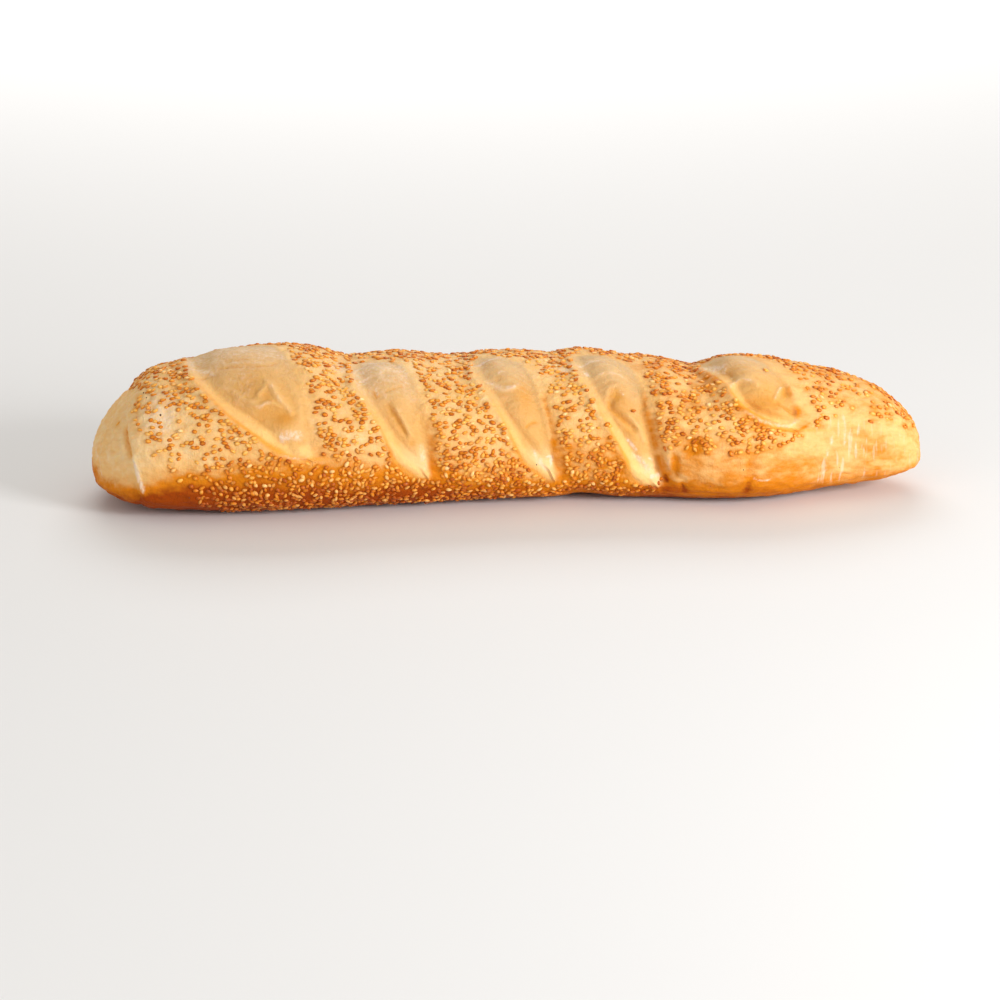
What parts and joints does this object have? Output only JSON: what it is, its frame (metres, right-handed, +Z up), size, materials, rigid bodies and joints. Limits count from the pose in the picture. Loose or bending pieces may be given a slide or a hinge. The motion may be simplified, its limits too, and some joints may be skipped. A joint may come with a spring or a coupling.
{
  "type": "sesame baguette",
  "caption": "Whole long wheat loaf with a rounded crust, diagonal slashes along its front and sesame seeds, lying on a flat underside.",
  "frame": {"origin": "centre of the loaf's bounding box on the surface it rests on", "axes": "+X along the loaf towards its slimmer, less seeded end, -Y the side with the slashes, +Z up"},
  "size_m": [0.5, 0.1247, 0.0906],
  "materials": {
    "crust": "baked crust, matte and floury on top, glossier and browner towards the base",
    "sesame": "toasted sesame seeds with a dry satin skin"
  },
  "bodies": {
    "root": {"loaf": "crust"}
  },
  "joints": []
}
